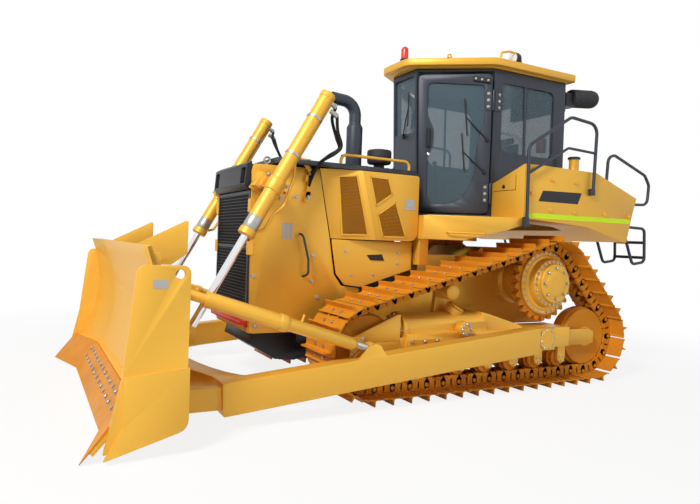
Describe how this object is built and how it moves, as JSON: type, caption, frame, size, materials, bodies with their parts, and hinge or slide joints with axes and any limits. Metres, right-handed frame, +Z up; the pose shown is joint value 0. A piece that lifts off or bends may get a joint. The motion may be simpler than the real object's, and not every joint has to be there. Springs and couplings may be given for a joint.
{
  "type": "crawler bulldozer",
  "caption": "High-drive crawler bulldozer with a straight tilt-back blade on push arms, lift cylinders, enclosed cab, opening cab and engine doors, rear tank, handrails and hitch.",
  "frame": {"origin": "middle of the machine's length and width, on the ground under the grousers", "axes": "+X forward towards the blade, +Y to the operator's left, +Z up"},
  "size_m": [6.3682, 3.5456, 3.6514],
  "materials": {
    "yellow_paint": "satin machine enamel, lightly dusty",
    "slate_paint": "satin dark blue-grey enamel",
    "black_paint": "matt black enamel",
    "red_paint": "satin red enamel",
    "bare_steel": "machined",
    "chrome": "polished",
    "tinted_glass": "tinted",
    "red_lens": "moulded",
    "seat_fabric": "woven",
    "black_plastic": "grained"
  },
  "bodies": {
    "root": {"track_left": "yellow_paint", "track_right": "yellow_paint", "front_idler_left": "yellow_paint", "front_idler_right": "yellow_paint", "rear_idler_left": "yellow_paint", "rear_idler_right": "yellow_paint", "drive_sprocket_left": "yellow_paint", "drive_sprocket_right": "yellow_paint", "track_frame_left": "yellow_paint", "track_frame_right": "yellow_paint", "track_rollers_left": "yellow_paint", "track_rollers_right": "yellow_paint", "main_frame": "yellow_paint", "pivot_shaft": "bare_steel", "equalizer_bar": "yellow_paint", "belly_guard": "black_paint", "radiator_guard": "yellow_paint", "grille_door": "black_paint", "front_tow_bar": "red_paint", "engine_and_radiator": "black_paint", "engine_side_cover_left": "yellow_paint", "engine_side_cover_right": "yellow_paint", "hood": "slate_paint", "exhaust_stack": "black_paint", "precleaner": "black_paint", "cab_shell": "slate_paint", "windscreen": "tinted_glass", "side_window_left": "tinted_glass", "side_window_right": "tinted_glass", "rear_window": "tinted_glass", "cab_roof": "yellow_paint", "operator_seat": "seat_fabric", "cab_controls": "black_plastic", "beacon": "red_lens", "rear_air_unit": "black_paint", "fender_left": "yellow_paint", "fender_right": "yellow_paint", "fuel_tank": "yellow_paint", "handrail_left": "slate_paint", "handrail_right": "slate_paint", "rear_steps_left": "slate_paint", "rear_steps_right": "slate_paint", "rear_hitch": "yellow_paint"},
    "blade_group": {"blade": "yellow_paint", "cutting_edge": "yellow_paint", "push_arm_left": "yellow_paint", "push_arm_right": "yellow_paint", "blade_brace_left": "yellow_paint", "blade_brace_right": "yellow_paint"},
    "lift_barrel_body_left": {"lift_barrel_left": "yellow_paint"},
    "lift_rod_body_left": {"lift_rod_left": "chrome"},
    "cab_door_body_left": {"cab_door_left": "slate_paint", "cab_door_glass_left": "tinted_glass"},
    "engine_door_body_left": {"engine_door_left": "yellow_paint"},
    "lift_barrel_body_right": {"lift_barrel_right": "yellow_paint"},
    "lift_rod_body_right": {"lift_rod_right": "chrome"},
    "cab_door_body_right": {"cab_door_right": "slate_paint", "cab_door_glass_right": "tinted_glass"},
    "engine_door_body_right": {"engine_door_right": "yellow_paint"}
  },
  "joints": [
    {"name": "blade_lift", "type": "hinge", "parent": "root", "child": "blade_group", "pos_m": [-1.153, 0, 0.545], "axis": [0, -1, 0], "range_deg": [-7, 15]},
    {"name": "lift_barrel_left", "type": "hinge", "parent": "root", "child": "lift_barrel_body_left", "pos_m": [1.582, 0.78, 1.918], "axis": [0, -1, 0], "range_deg": [-9.6, 20.4]},
    {"name": "lift_rod_left", "type": "slide", "parent": "lift_barrel_body_left", "child": "lift_rod_body_left", "axis": [0.4938, 0, -0.8696], "range_m": [-0.78, 0.366]},
    {"name": "lift_barrel_right", "type": "hinge", "parent": "root", "child": "lift_barrel_body_right", "pos_m": [1.582, -0.78, 1.918], "axis": [0, -1, 0], "range_deg": [-9.6, 20.4]},
    {"name": "lift_rod_right", "type": "slide", "parent": "lift_barrel_body_right", "child": "lift_rod_body_right", "axis": [0.4938, 0, -0.8696], "range_m": [-0.78, 0.366]},
    {"name": "cab_door_left", "type": "hinge", "parent": "root", "child": "cab_door_body_left", "pos_m": [-0.923, 0.732, 2.55], "axis": [0, 0, 1], "range_deg": [0, 110]},
    {"name": "engine_door_left", "type": "hinge", "parent": "root", "child": "engine_door_body_left", "pos_m": [0.883, 0.538, 1.47], "axis": [-0.1905, 0, -0.9817], "range_deg": [0, 95]},
    {"name": "cab_door_right", "type": "hinge", "parent": "root", "child": "cab_door_body_right", "pos_m": [-0.923, -0.732, 2.55], "axis": [0, 0, -1], "range_deg": [0, 110]},
    {"name": "engine_door_right", "type": "hinge", "parent": "root", "child": "engine_door_body_right", "pos_m": [0.883, -0.538, 1.47], "axis": [0.1905, 0, 0.9817], "range_deg": [0, 95]}
  ],
  "couplings": [
    {"joint": "lift_barrel_left", "follows": "blade_lift", "ratio": 1.35},
    {"joint": "lift_rod_left", "follows": "blade_lift", "m_per_rad": -2.9735},
    {"joint": "lift_barrel_right", "follows": "blade_lift", "ratio": 1.35},
    {"joint": "lift_rod_right", "follows": "blade_lift", "m_per_rad": -2.9735}
  ]
}
